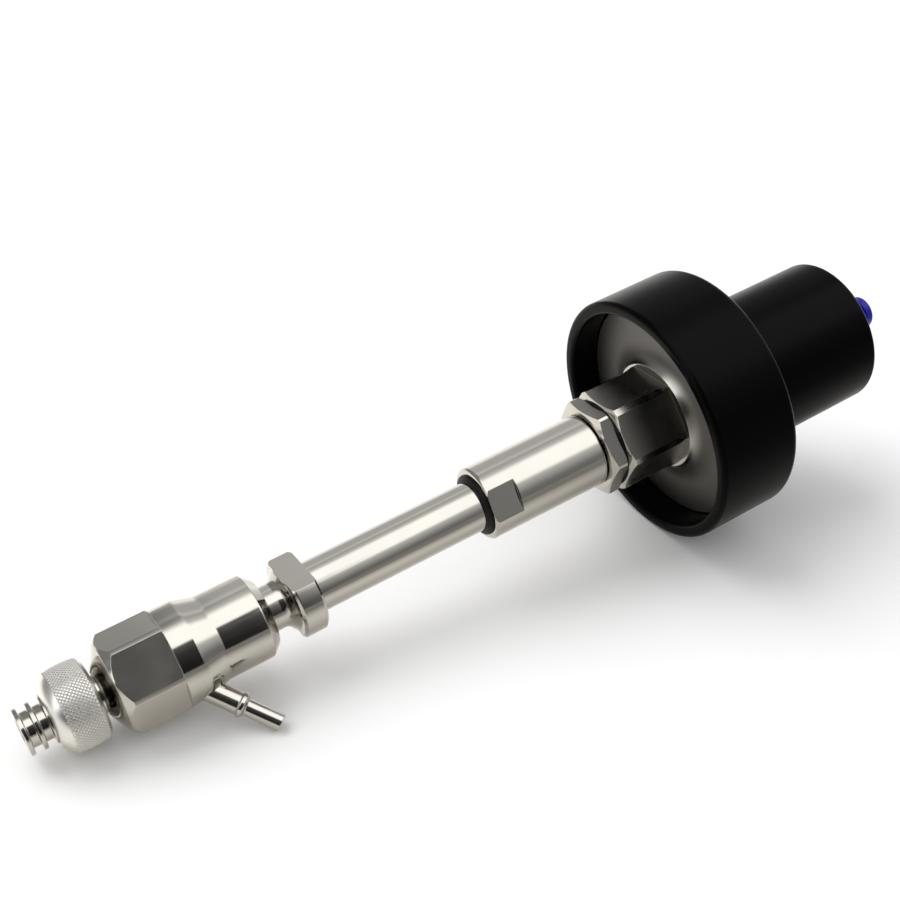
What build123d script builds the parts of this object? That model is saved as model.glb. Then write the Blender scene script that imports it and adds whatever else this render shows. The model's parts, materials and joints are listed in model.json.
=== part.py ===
from build123d import *
import math
import os

# Air-operated filling valve head of a capping machine.
# Lengths are millimetres. The valve axis is X: the outlet faces -X and the air fitting +X.
# The origin is the centre of the outlet face. +Z is up while the head lies on its side.
# Clock angles are degrees about X, from +Y towards +Z.

# ---------------------------------------------------------------- clearances
thread_clearance = 0.15    # radial, between a male and a female thread, both drawn plain
fit_clearance = 0.03       # between pieces of one body that are pushed together
running_clearance = 0.06   # radial, of a sliding fit
seat_gap = 0.2             # along X, between the poppet's land and the seat ring, and at the end stop
open_clearance = 0.3       # between pieces that pass each other without guiding

# ---------------------------------------------------------------- driving sizes
tube_radius = 8.0          # outside of the extension tube
tube_exposed = 58.2        # tube between the collar and the sleeve
stem_radius = 3.0
stroke = 3.5               # of the piston and the poppet
cylinder_radius = 20.0     # bore of the actuator
bell_mouth_radius = 36.8   # inside of the bell
air_tube_radius = 3.0      # outside of the air tube that the fitting takes

# ---------------------------------------------------------------- outlet spigot
outlet_bore_radius = 3.4
outlet_bore_length = 7.6
spigot_wall = 3.6
spigot_ring_width = 1.25
spigot_groove_width = 2.45
spigot_groove_depth = 1.7
spigot_groove_count = 2
spigot_collar_width = 4.6
spigot_flange_height = 1.6
spigot_flange_width = 3.0
chamber_wall = 1.4

# ---------------------------------------------------------------- knurled union nut
union_thread_height = 0.4  # of the nose thread over the spigot's flange
union_nut_wall = 3.3
union_nut_front_wall = 3.0
union_nut_length = 13.8
union_nut_face_width = 1.3
union_nut_taper = 4.4
union_nut_overlap = 1.0    # of the nut behind the nose thread
thrust_washer_thickness = 1.0

# ---------------------------------------------------------------- valve body
nose_neck_length = 2.0
nose_neck_drop = 3.2
hex_flats = 27.0
hex_corner_cut = 0.39      # radial, taken off the hexagon's corners
hex_face_drop = 0.3
front_cone_length = 3.4
front_cone_root = 0.6      # radial, of the cone's foot over the neck
hex_chamfer_length = 2.4
hex_length = 20.8
hex_corner_angle = 103.5
shoulder_drop = 0.35
shoulder_length = 6.7
cone_length = 6.3
cone_drop = 1.9
rear_body_length = 16.9
rear_chamfer_length = 2.9
rear_chamfer_depth = 2.6
seat_passage_radius = 3.2
seat_passage_length = 15.0
chamber_radius = 6.5
rear_thread_length = 9.5

# ---------------------------------------------------------------- seat, poppet and stem
seat_ring_wall = 1.8
seat_ring_width = 2.5
seat_chamfer = 0.9
poppet_overlap = 1.0       # radial, of the poppet over the passage
poppet_land = 1.3
poppet_cone = 1.8
poppet_nose = 2.0
poppet_wall = 1.2
stem_tip_radius = 1.5
stem_thread_radius = 2.5
stem_step_length = 1.2
stem_stick_out = 1.5

# ---------------------------------------------------------------- hose nipple
nipple_to_hex_end = 4.0    # from the nipple's foot on the valve axis to the end of the hexagon
nipple_lean = 52.5         # from +X
nipple_angle = 216.0
nipple_seat_depth = 1.85   # into the shoulder
nipple_stub = 10.75        # from the shoulder to the bead
nipple_bead_width = 2.3
nipple_tail = 10.9
nipple_base_radius = 3.3
nipple_bead_radius = 3.7
nipple_radius = 2.55
nipple_bore_radius = 1.6

# ---------------------------------------------------------------- tube coupling
coupling_neck_length = 7.4
coupling_neck_drop = 1.0   # from the tube's radius
collar_length = 7.8
collar_height = 4.4        # over the tube
collar_flat_wall = 0.77    # left between the flats and the tube
collar_flat_angle = 87.7
collar_flare_length = 2.4
collar_flare_fillet = 2.6
collar_face_width = 2.6
collar_chamfer = 0.8
tube_socket_depth = 6.3
packing_depth = 2.5        # radial, round the stem
packing_length = 7.0
front_bush_length = 3.4
coupling_thread_height = 0.9
coupling_thread_relief = 1.5
stem_seal_width = 1.5
stem_seal_count = 2

# ---------------------------------------------------------------- tube and sleeve
tube_wall = 3.0
sleeve_wall = 3.8
sleeve_length = 41.2
sleeve_flat_depth = 1.25
sleeve_flat_length = 9.8
sleeve_flat_angle = 153.4
sleeve_bottom = 4.1        # between the end of the tube and the rear of the sleeve
sleeve_thread_height = 1.0 # over the tube
sleeve_thread_length = 17.0
wiper_wall = 1.9
wiper_depth = 4.1
wiper_lip = 1.5

# ---------------------------------------------------------------- jam nut, gasket and bonnet
jam_nut_width = 4.8
jam_nut_wall = 4.85
jam_nut_corner_height = 1.9
jam_nut_chamfer = 1.2
jam_nut_corner_angle = 114.5
gasket_thickness = 0.7
gasket_width = 5.5
bonnet_wall = 5.85
bonnet_corner_height = 1.7
bonnet_corner_angle = 116.5
bonnet_hex_length = 21.6
bonnet_length = 26.1       # from the gasket to the flange
bonnet_chamfer_length = 1.4
bonnet_chamfer_depth = 2.5
flange_thickness = 6.0
flange_fillet = 9.0
boss_length = 6.0
rear_bush_length = 18.0

# ---------------------------------------------------------------- actuator housing
bell_wall = 4.3
bell_depth = 10.2          # from the mouth to the flange
bell_back_wall = 13.4      # from the flange's back to the bell's back
neck_wall = 4.2
neck_fillet = 2.5
rear_wall = 7.0
rear_room = 3.2            # between the stem's end and the rear wall
breather_radius = 1.0
breather_to_bell = 6.6
breather_angle = 320.0

# ---------------------------------------------------------------- piston and spring
piston_width = 10.0
piston_hub_wall = 5.0
piston_thread_length = 4.0
piston_groove_depth = 2.6
piston_groove_width = 3.0
piston_washer_radius = 6.0
piston_washer_thickness = 1.0
piston_nut_flats = 8.0
piston_nut_width = 4.0
spring_wire_radius = 1.2
spring_space = 2.4         # between the piston's hub and the spring
spring_length = 29.0
spring_turns = 5
spring_seat_thickness = 1.0
spring_seat_width = 5.5

# ---------------------------------------------------------------- push-in air fitting
fitting_flats = 13.0
fitting_hex_width = 6.0
fitting_body_length = 6.0
fitting_wall = 1.5
fitting_washer_thickness = 0.9
fitting_thread_radius = 4.7
fitting_thread_length = 5.8
air_passage_radius = 2.0
fitting_cavity_depth = 9.1
release_travel = 1.0
release_flange_height = 0.9
release_flange_width = 3.1
release_sleeve_length = 3.2
release_sleeve_wall = 1.6
tube_play = 0.1            # radial, round the air tube

# ---------------------------------------------------------------- seal rings
face_seal_section = 0.65   # radius of the ring's section
body_seal_section = 1.0
tube_seal_section = 0.65

# ---------------------------------------------------------------- radii that follow
spigot_radius = outlet_bore_radius + spigot_wall
spigot_flange_radius = spigot_radius + spigot_flange_height
poppet_chamber_radius = spigot_radius - chamber_wall
union_thread_radius = spigot_flange_radius + union_thread_height
union_bore_radius = union_thread_radius + thread_clearance
union_nut_radius = union_bore_radius + union_nut_wall
union_opening_radius = spigot_radius + open_clearance
nose_neck_radius = union_thread_radius - nose_neck_drop
hex_bar_radius = hex_flats / math.sqrt(3) - hex_corner_cut
hex_face_radius = hex_flats / 2 - hex_face_drop
shoulder_radius = hex_bar_radius - shoulder_drop
rear_body_radius = shoulder_radius - cone_drop
seat_ring_radius = seat_passage_radius + seat_ring_wall
poppet_radius = seat_passage_radius + poppet_overlap
face_seal_radius = (seat_ring_radius + union_thread_radius) / 2
guide_radius = stem_radius + running_clearance
stem_passage_radius = stem_radius + 2 * open_clearance
packing_radius = stem_radius + packing_depth
coupling_neck_radius = tube_radius - coupling_neck_drop
coupling_thread_radius = tube_radius + coupling_thread_height
tube_socket_radius = tube_radius + fit_clearance
collar_radius = tube_radius + collar_height
collar_flats = 2 * (tube_socket_radius + collar_flat_wall)
sleeve_radius = tube_radius + sleeve_wall
sleeve_flats = 2 * (sleeve_radius - sleeve_flat_depth)
sleeve_thread_radius = tube_radius + sleeve_thread_height
wiper_radius = tube_radius + wiper_wall
thread_bore_radius = sleeve_thread_radius + thread_clearance
jam_nut_flats = 2 * (thread_bore_radius + jam_nut_wall)
jam_nut_radius = jam_nut_flats / 2 + jam_nut_corner_height
gasket_radius = thread_bore_radius + gasket_width
bonnet_flats = 2 * (thread_bore_radius + bonnet_wall)
bonnet_hex_radius = bonnet_flats / 2 + bonnet_corner_height
flange_radius = bell_mouth_radius - seat_gap
boss_radius = cylinder_radius - fit_clearance
bell_radius = bell_mouth_radius + bell_wall
neck_radius = cylinder_radius + neck_wall
piston_radius = cylinder_radius - running_clearance
piston_hub_radius = stem_radius + piston_hub_wall
spring_radius = piston_hub_radius + spring_space + spring_wire_radius
spring_seat_radius = piston_hub_radius + 1.5 + spring_seat_width
port_thread_radius = fitting_thread_radius + thread_clearance
fitting_cavity_radius = air_tube_radius + release_sleeve_wall
fitting_body_radius = fitting_cavity_radius + fitting_wall
release_flange_radius = fitting_cavity_radius + release_flange_height

# ---------------------------------------------------------------- places that follow, along X
spigot_pitch = spigot_ring_width + spigot_groove_width
spigot_flange_front = spigot_groove_count * spigot_pitch + spigot_collar_width
spigot_length = spigot_flange_front + spigot_flange_width
thrust_washer_front = spigot_flange_front - thrust_washer_thickness
union_nut_front = thrust_washer_front - union_nut_front_wall
union_nut_back = union_nut_front + union_nut_length
nose_end = union_nut_back - union_nut_overlap
hex_start = nose_end + nose_neck_length
hex_end = hex_start + hex_length
shoulder_end = hex_end + shoulder_length
cone_end = shoulder_end + cone_length
valve_body_end = cone_end + rear_body_length
nipple_axis_x = hex_end - nipple_to_hex_end
coupling_start = valve_body_end - rear_thread_length
coupling_seal_x = coupling_start + 2 * body_seal_section
coupling_thread_end = valve_body_end - coupling_thread_relief
chamber_start = spigot_length + seat_passage_length
poppet_back = spigot_length - seat_gap
poppet_front = poppet_back - poppet_land - poppet_nose
stem_tip_start = poppet_front + poppet_wall
stem_tip_end = chamber_start + stroke + open_clearance
collar_start = valve_body_end + coupling_neck_length
collar_end = collar_start + collar_length
tube_start = collar_end - tube_socket_depth
sleeve_start = collar_end + tube_exposed
sleeve_end = sleeve_start + sleeve_length
tube_end = sleeve_end - sleeve_bottom
sleeve_thread_end = sleeve_end + sleeve_thread_length
jam_nut_start = sleeve_end + open_clearance
jam_nut_end = jam_nut_start + jam_nut_width
bonnet_start = jam_nut_end + gasket_thickness
bonnet_flat_end = bonnet_start + bonnet_hex_length
flange_front = bonnet_start + bonnet_length
flange_back = flange_front + flange_thickness
boss_end = flange_back + boss_length
rear_bush_start = boss_end - rear_bush_length
bell_mouth = flange_front - bell_depth
bell_end = flange_back + bell_back_wall
spring_start = boss_end + spring_seat_thickness
piston_front = spring_start + spring_length
piston_hub_front = boss_end + stroke + seat_gap
piston_back = piston_front + piston_width
piston_groove_start = piston_front + (piston_width - piston_groove_width) / 2
piston_nut_start = piston_back + piston_washer_thickness
stem_end = piston_nut_start + piston_nut_width + stem_stick_out
cylinder_end = stem_end + rear_room
neck_end = cylinder_end + rear_wall
fitting_start = neck_end + fitting_washer_thickness
fitting_hex_end = fitting_start + fitting_hex_width
fitting_end = fitting_hex_end + fitting_body_length
fitting_cavity_start = fitting_end - fitting_cavity_depth
release_flange_front = fitting_end + release_travel + open_clearance

# ---------------------------------------------------------------- distances along the nipple
nipple_start = shoulder_radius - nipple_seat_depth
nipple_bead_start = shoulder_radius + nipple_stub
nipple_bead_end = nipple_bead_start + nipple_bead_width
nipple_end = nipple_bead_end + nipple_tail


# ---------------------------------------------------------------- shapes
def turned(*corners):
    """Solid turned about X from the corners (x, r) or (x, r, corner radius) of its half section."""
    points = [corner[:2] for corner in corners]
    radii = [corner[2] if len(corner) > 2 else 0 for corner in corners]
    outline = FilletPolyline(*points, radius=radii, close=True)
    return revolve(make_face(outline.edges()), Axis.X)


def ring(x_start, x_end, outer, inner, edge=0):
    """Turned ring with its outer edges rounded."""
    return turned((x_start, inner), (x_start, outer, edge), (x_end, outer, edge), (x_end, inner))


def disc(x_start, x_end, radius, edge=0):
    """Turned solid disc with its edges rounded."""
    return turned((x_start, 0), (x_start, radius, edge), (x_end, radius, edge), (x_end, 0))


def seal_ring(x_centre, centre_radius, section_radius):
    """O-ring about X."""
    section = Pos(x_centre, centre_radius) * Circle(section_radius)
    return revolve(section, Axis.X)


def flat_cutters(count, across, x_start, x_end, bar_radius, first_angle):
    """Blocks that mill flats on a bar about X; the first flat faces first_angle."""
    depth = bar_radius
    middle = (x_start + x_end) / 2
    cutters = []
    for index in range(count):
        block = Pos(middle, (across + depth) / 2, 0) * Box(x_end - x_start, depth, 3 * bar_radius)
        cutters.append(Rot(X=first_angle + 360 / count * index) * block)
    return cutters


def along_nipple(shape):
    """Place a shape built along +Z from the origin on the nipple's axis."""
    return Pos(nipple_axis_x, 0, 0) * Rot(X=nipple_angle - 90) * Rot(Y=90 - nipple_lean) * shape


def nipple_cylinder(start, end, radius):
    """Cylinder along the nipple's axis, between two distances from the valve axis."""
    return along_nipple(Pos(0, 0, (start + end) / 2) * Cylinder(radius, end - start))


# ---------------------------------------------------------------- outlet
def make_outlet_spigot():
    root_radius = spigot_radius - spigot_groove_depth
    corners = [(0, outlet_bore_radius + 0.4), (0, spigot_radius, 0.25)]
    for index in range(spigot_groove_count):
        groove_start = index * spigot_pitch + spigot_ring_width
        groove_end = (index + 1) * spigot_pitch
        corners += [
            (groove_start, spigot_radius, 0.25),
            (groove_start, root_radius, 0.4),
            (groove_end, root_radius, 0.4),
            (groove_end, spigot_radius, 0.25),
        ]
    corners += [
        (spigot_flange_front, spigot_radius),
        (spigot_flange_front, spigot_flange_radius, 0.3),
        (spigot_length, spigot_flange_radius),
        (spigot_length, poppet_chamber_radius),
        (outlet_bore_length, poppet_chamber_radius, 1.0),
        (outlet_bore_length, outlet_bore_radius),
        (0.4, outlet_bore_radius),
    ]
    return turned(*corners)


def make_thrust_washer():
    return ring(thrust_washer_front, spigot_flange_front, spigot_flange_radius, union_opening_radius)


def make_knurled_nut():
    return turned(
        (union_nut_front, union_opening_radius),
        (union_nut_front, union_opening_radius + union_nut_face_width, 0.8),
        (union_nut_front + 0.3 * union_nut_taper, 0.88 * union_nut_radius, 2.2),
        (union_nut_front + union_nut_taper, union_nut_radius, 3.0),
        (union_nut_back - 1.8, union_nut_radius, 1.6),
        (union_nut_back, union_nut_radius - 1.5, 0.5),
        (union_nut_back, union_bore_radius + 0.5),
        (union_nut_back - 0.5, union_bore_radius),
        (thrust_washer_front, union_bore_radius),
        (thrust_washer_front, union_opening_radius),
    )


# ---------------------------------------------------------------- valve body
def make_valve_body():
    outside = turned(
        (spigot_length, 0),
        (spigot_length, union_thread_radius, 0.5),
        (nose_end, union_thread_radius, 0.4),
        (nose_end, nose_neck_radius, 0.6),
        (hex_start, nose_neck_radius),
        (hex_start, nose_neck_radius + front_cone_root),
        (hex_start + front_cone_length, hex_face_radius, 0.8),
        (hex_start + front_cone_length + hex_chamfer_length, hex_bar_radius, 0.8),
        (hex_end, hex_bar_radius),
        (hex_end, shoulder_radius),
        (shoulder_end, shoulder_radius, 3.0),
        (cone_end, rear_body_radius, 3.0),
        (valve_body_end - rear_chamfer_length, rear_body_radius, 0.6),
        (valve_body_end, rear_body_radius - rear_chamfer_depth, 0.3),
        (valve_body_end, 0),
    )
    body = outside - flat_cutters(
        6, hex_flats, hex_start - 1, hex_end, hex_bar_radius, hex_corner_angle - 30
    )
    thread_bore = coupling_thread_radius + thread_clearance
    groove_end = spigot_length + 2 * face_seal_section + fit_clearance
    groove_inner = face_seal_radius - 1.25 * face_seal_section
    groove_outer = face_seal_radius + 1.25 * face_seal_section
    body -= disc(spigot_length - 1, spigot_length + seat_ring_width, seat_ring_radius)
    body -= disc(spigot_length, chamber_start, seat_passage_radius)
    body -= disc(chamber_start, coupling_start, chamber_radius, 0.5)
    body -= disc(coupling_start, valve_body_end + 1, thread_bore)
    body -= ring(spigot_length - 1, groove_end, groove_outer, groove_inner)
    body -= nipple_cylinder(0, nipple_start + 1, nipple_bore_radius)
    body -= nipple_cylinder(nipple_start - fit_clearance, nipple_end, nipple_base_radius + fit_clearance)
    return body


def make_outlet_seal():
    return seal_ring(spigot_length + face_seal_section, face_seal_radius, face_seal_section)


def make_seat_ring():
    back = spigot_length + seat_ring_width
    return turned(
        (spigot_length, seat_passage_radius + seat_chamfer),
        (spigot_length, seat_ring_radius - fit_clearance),
        (back, seat_ring_radius - fit_clearance),
        (back, seat_passage_radius),
        (spigot_length + seat_chamfer, seat_passage_radius),
    )


def make_poppet():
    bore = stem_tip_radius + fit_clearance
    return turned(
        (poppet_front, 0),
        (poppet_front, 1.6, 0.6),
        (poppet_back - poppet_land, poppet_radius, 0.5),
        (poppet_back, poppet_radius),
        (poppet_back + poppet_cone, poppet_radius - poppet_cone),
        (poppet_back + poppet_cone, bore),
        (stem_tip_start, bore),
        (stem_tip_start, 0),
    )


def make_valve_stem():
    return turned(
        (stem_tip_start, 0),
        (stem_tip_start, stem_tip_radius, 0.3),
        (stem_tip_end, stem_tip_radius),
        (stem_tip_end + stem_step_length, stem_radius, 0.4),
        (piston_back - piston_thread_length, stem_radius),
        (piston_back - piston_thread_length, stem_thread_radius),
        (stem_end, stem_thread_radius, 0.4),
        (stem_end, 0),
    )


def make_hose_nipple():
    profile = FilletPolyline(
        (nipple_bore_radius, nipple_start),
        (nipple_base_radius, nipple_start),
        (nipple_base_radius, nipple_bead_start),
        (nipple_bead_radius, nipple_bead_start + 0.4),
        (nipple_bead_radius, nipple_bead_end - 0.8),
        (nipple_radius, nipple_bead_end),
        (nipple_radius, nipple_end),
        (nipple_bore_radius, nipple_end),
        radius=[0, 0, 0.2, 0.3, 0.5, 0.3, 0.35, 0],
        close=True,
    )
    nipple = revolve(Plane.XZ * make_face(profile.edges()), Axis.Z)
    return along_nipple(nipple)


# ---------------------------------------------------------------- coupling and tube
def make_tube_coupling():
    groove_half = 1.15 * body_seal_section
    groove_radius = coupling_thread_radius + thread_clearance - 2.05 * body_seal_section
    coupling = turned(
        (coupling_start, stem_passage_radius),
        (coupling_start, coupling_thread_radius, 0.3),
        (coupling_thread_end, coupling_thread_radius, 0.3),
        (coupling_thread_end, coupling_neck_radius, 0.4),
        (collar_start - collar_flare_length, coupling_neck_radius, collar_flare_fillet),
        (collar_start, collar_radius - collar_face_width, 0.4),
        (collar_start, collar_radius - collar_chamfer, 0.3),
        (collar_start + collar_chamfer, collar_radius, 0.3),
        (collar_end - collar_chamfer, collar_radius, 0.3),
        (collar_end, collar_radius - collar_chamfer, 0.2),
        (collar_end, stem_passage_radius),
    )
    coupling -= flat_cutters(
        2, collar_flats, collar_start - 0.5, collar_end + 0.5, collar_radius, collar_flat_angle
    )
    coupling -= disc(coupling_start - 1, coupling_start + packing_length, packing_radius)
    coupling -= disc(tube_start, collar_end + 1, tube_socket_radius)
    coupling -= ring(
        coupling_seal_x - groove_half, coupling_seal_x + groove_half, coupling_thread_radius + 1, groove_radius
    )
    return coupling


def make_coupling_seal():
    centre_radius = coupling_thread_radius + thread_clearance - 1.02 * body_seal_section
    return seal_ring(coupling_seal_x, centre_radius, body_seal_section - fit_clearance)


def make_front_guide_bush():
    return ring(
        coupling_start, coupling_start + front_bush_length, packing_radius - fit_clearance, guide_radius
    )


def make_stem_seals():
    """Lip seals in a row behind the front bush, each with its groove towards the product."""
    lip = (packing_radius - guide_radius) / 4
    seals = []
    for index in range(stem_seal_count):
        front = coupling_start + front_bush_length + fit_clearance + index * (stem_seal_width + fit_clearance)
        seals.append(turned(
            (front, guide_radius),
            (front, guide_radius + lip),
            (front + stem_seal_width / 2, guide_radius + 2 * lip),
            (front, packing_radius - lip),
            (front, packing_radius - fit_clearance),
            (front + stem_seal_width, packing_radius - fit_clearance),
            (front + stem_seal_width, guide_radius),
        ))
    return Compound(children=seals)


def make_extension_tube():
    return turned(
        (tube_start, tube_radius - tube_wall),
        (tube_start, tube_radius, 0.3),
        (tube_end, tube_radius, 0.3),
        (tube_end, tube_radius - tube_wall),
    )


def make_sleeve():
    mouth_bore = wiper_radius + fit_clearance
    sleeve = turned(
        (sleeve_start, mouth_bore),
        (sleeve_start, sleeve_radius, 1.2),
        (sleeve_end, sleeve_radius, 0.5),
        (sleeve_end, sleeve_thread_radius),
        (sleeve_thread_end, sleeve_thread_radius, 0.6),
        (sleeve_thread_end, stem_passage_radius),
        (tube_end, stem_passage_radius),
        (tube_end, tube_socket_radius),
        (sleeve_start + wiper_depth, tube_socket_radius),
        (sleeve_start + wiper_depth, mouth_bore),
    )
    flat_end = sleeve_start + sleeve_flat_length
    return sleeve - flat_cutters(
        2, sleeve_flats, sleeve_start - 0.5, flat_end, sleeve_radius, sleeve_flat_angle
    )


def make_wiper_ring():
    inner = tube_radius + fit_clearance
    return turned(
        (sleeve_start - wiper_lip, inner),
        (sleeve_start - wiper_lip, inner + 0.7, 0.3),
        (sleeve_start - 0.4 * wiper_lip, wiper_radius, 0.5),
        (sleeve_start + wiper_depth - 0.1, wiper_radius),
        (sleeve_start + wiper_depth - 0.1, inner),
    )


# ---------------------------------------------------------------- jam nut and bonnet
def make_jam_nut():
    nut = turned(
        (jam_nut_start, thread_bore_radius),
        (jam_nut_start, jam_nut_radius - 2 * jam_nut_chamfer),
        (jam_nut_start + jam_nut_chamfer, jam_nut_radius),
        (jam_nut_end - 0.3 * jam_nut_chamfer, jam_nut_radius),
        (jam_nut_end, jam_nut_radius - 0.6 * jam_nut_chamfer),
        (jam_nut_end, thread_bore_radius),
    )
    return nut - flat_cutters(
        6, jam_nut_flats, jam_nut_start - 0.5, jam_nut_end + 0.5, jam_nut_radius, jam_nut_corner_angle - 30
    )


def make_bonnet_gasket():
    return ring(jam_nut_end, bonnet_start, gasket_radius, thread_bore_radius + fit_clearance)


def make_bonnet():
    groove_x = flange_back + boss_length / 2
    groove_half = 1.15 * body_seal_section
    bonnet = turned(
        (bonnet_start, thread_bore_radius),
        (bonnet_start, bonnet_hex_radius - bonnet_chamfer_depth, 0.2),
        (bonnet_start + bonnet_chamfer_length, bonnet_hex_radius, 0.3),
        (flange_front, bonnet_hex_radius, flange_fillet),
        (flange_front, flange_radius, 0.3),
        (flange_back, flange_radius, 0.3),
        (flange_back, boss_radius),
        (boss_end, boss_radius, 0.4),
        (boss_end, packing_radius),
        (rear_bush_start, packing_radius),
        (rear_bush_start, stem_passage_radius),
        (sleeve_thread_end + open_clearance, stem_passage_radius),
        (sleeve_thread_end + open_clearance, thread_bore_radius),
    )
    bonnet -= flat_cutters(
        6, bonnet_flats, bonnet_start - 0.5, bonnet_flat_end, bonnet_hex_radius, bonnet_corner_angle - 30
    )
    groove_radius = boss_radius - 2.05 * body_seal_section
    bonnet -= ring(groove_x - groove_half, groove_x + groove_half, boss_radius + 1, groove_radius)
    return bonnet


def make_cover_seal():
    centre_radius = boss_radius - 1.02 * body_seal_section
    return seal_ring(flange_back + boss_length / 2, centre_radius, body_seal_section - fit_clearance)


def make_rear_guide_bush():
    return ring(rear_bush_start, boss_end, packing_radius - fit_clearance, guide_radius)


# ---------------------------------------------------------------- actuator
def make_actuator_housing():
    housing = turned(
        (bell_mouth, bell_mouth_radius, 1.4),
        (bell_mouth, bell_radius, 1.6),
        (bell_end, bell_radius, 2.2),
        (bell_end, neck_radius, neck_fillet),
        (neck_end, neck_radius, 1.6),
        (neck_end, port_thread_radius),
        (cylinder_end, port_thread_radius),
        (cylinder_end, cylinder_radius),
        (flange_back, cylinder_radius),
        (flange_back, bell_mouth_radius),
    )
    breather = Pos(bell_end + breather_to_bell, (neck_radius + cylinder_radius) / 2, 0) * Rot(X=90) * Cylinder(breather_radius, 2 * neck_wall)
    return housing - Rot(X=breather_angle) * breather


def make_spring_seat():
    return ring(boss_end, spring_start, spring_seat_radius, piston_hub_radius + 1.5)


def make_return_spring():
    rise = spring_length - 2 * spring_wire_radius - 2 * fit_clearance
    path = Helix(rise / spring_turns, rise, spring_radius)
    section = Plane(origin=path @ 0, z_dir=path % 0) * Circle(spring_wire_radius)
    coil = sweep(section, path=path, is_frenet=True)
    start = spring_start + spring_wire_radius + fit_clearance
    return Pos(start, 0, 0) * Rot(Y=90) * coil


def make_piston():
    thread_start = piston_back - piston_thread_length
    piston = turned(
        (piston_hub_front, guide_radius),
        (piston_hub_front, piston_hub_radius, 0.6),
        (piston_front, piston_hub_radius, 1.0),
        (piston_front, piston_radius, 0.5),
        (piston_back, piston_radius, 0.5),
        (piston_back, stem_thread_radius + fit_clearance),
        (thread_start, stem_thread_radius + fit_clearance),
        (thread_start, guide_radius),
    )
    return piston - ring(
        piston_groove_start,
        piston_groove_start + piston_groove_width,
        piston_radius + 1,
        piston_radius - piston_groove_depth,
    )


def make_piston_seal():
    return ring(
        piston_groove_start + fit_clearance,
        piston_groove_start + piston_groove_width - fit_clearance,
        piston_radius,
        piston_radius - piston_groove_depth + fit_clearance,
        0.5,
    )


def make_piston_washer():
    return ring(piston_back, piston_nut_start, piston_washer_radius, stem_thread_radius + fit_clearance)


def make_piston_nut():
    corner_radius = piston_nut_flats / math.sqrt(3)
    nut = ring(
        piston_nut_start,
        piston_nut_start + piston_nut_width,
        corner_radius,
        stem_thread_radius + fit_clearance,
        0.3,
    )
    return nut - flat_cutters(
        6, piston_nut_flats, piston_nut_start - 1, piston_nut_start + piston_nut_width + 1, corner_radius, 0
    )


# ---------------------------------------------------------------- air fitting
def make_fitting_washer():
    return ring(neck_end, fitting_start, fitting_flats / 2 - 0.2, fitting_thread_radius + fit_clearance)


def make_fitting_body():
    corner_radius = fitting_flats / math.sqrt(3) - 0.3
    body = turned(
        (neck_end - fitting_thread_length, air_passage_radius),
        (neck_end - fitting_thread_length, fitting_thread_radius, 0.4),
        (fitting_start, fitting_thread_radius),
        (fitting_start, corner_radius, 0.4),
        (fitting_hex_end, corner_radius, 0.5),
        (fitting_hex_end, fitting_body_radius, 0.3),
        (fitting_end, fitting_body_radius, 0.5),
        (fitting_end, fitting_cavity_radius),
        (fitting_cavity_start, fitting_cavity_radius),
        (fitting_cavity_start, air_passage_radius),
    )
    return body - flat_cutters(
        6, fitting_flats, fitting_start - 1, fitting_hex_end, corner_radius, 10
    )


def make_tube_seal():
    centre_radius = fitting_cavity_radius - tube_seal_section - fit_clearance
    return seal_ring(fitting_cavity_start + 1.5, centre_radius, tube_seal_section)


def make_grip_ring():
    start = fitting_cavity_start + 2.6
    return turned(
        (start, fitting_cavity_radius - 0.4),
        (start, fitting_cavity_radius - fit_clearance),
        (start + 0.4, fitting_cavity_radius - fit_clearance),
        (start + 1.2, air_tube_radius + tube_play),
        (start + 0.8, air_tube_radius + tube_play),
    )


def make_release_ring():
    sleeve_front = fitting_end - release_sleeve_length
    flange_end = release_flange_front + release_flange_width
    bore = air_tube_radius + tube_play
    return turned(
        (sleeve_front, bore),
        (sleeve_front, fitting_cavity_radius - running_clearance, 0.2),
        (release_flange_front, fitting_cavity_radius - running_clearance),
        (release_flange_front, release_flange_radius, 0.4),
        (flange_end, release_flange_radius, 1.0),
        (flange_end, bore + 0.4),
        (flange_end - 0.4, bore),
    )


# ---------------------------------------------------------------- the assembly
parts = {
    "outlet_spigot": make_outlet_spigot,
    "thrust_washer": make_thrust_washer,
    "knurled_nut": make_knurled_nut,
    "valve_body": make_valve_body,
    "outlet_seal": make_outlet_seal,
    "seat_ring": make_seat_ring,
    "poppet": make_poppet,
    "valve_stem": make_valve_stem,
    "hose_nipple": make_hose_nipple,
    "tube_coupling": make_tube_coupling,
    "coupling_seal": make_coupling_seal,
    "front_guide_bush": make_front_guide_bush,
    "stem_seals": make_stem_seals,
    "extension_tube": make_extension_tube,
    "sleeve": make_sleeve,
    "wiper_ring": make_wiper_ring,
    "jam_nut": make_jam_nut,
    "bonnet_gasket": make_bonnet_gasket,
    "bonnet": make_bonnet,
    "cover_seal": make_cover_seal,
    "rear_guide_bush": make_rear_guide_bush,
    "actuator_housing": make_actuator_housing,
    "spring_seat": make_spring_seat,
    "return_spring": make_return_spring,
    "piston": make_piston,
    "piston_seal": make_piston_seal,
    "piston_washer": make_piston_washer,
    "piston_nut": make_piston_nut,
    "fitting_washer": make_fitting_washer,
    "fitting_body": make_fitting_body,
    "tube_seal": make_tube_seal,
    "grip_ring": make_grip_ring,
    "release_ring": make_release_ring,
}

os.makedirs("parts", exist_ok=True)
for name, make in parts.items():
    export_step(make(), f"parts/{name}.step")
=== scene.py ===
"""Looks of an air-operated filling valve head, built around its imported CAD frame.

The valve axis is X: the outlet faces -X and the air fitting +X. The head lies on a pale floor that
touches the rim of its bell, a corner of its hexagon and the tip of its hose nipple.
"""

import json
import math
from collections import Counter

import bpy
from mathutils import Matrix, Vector

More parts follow.
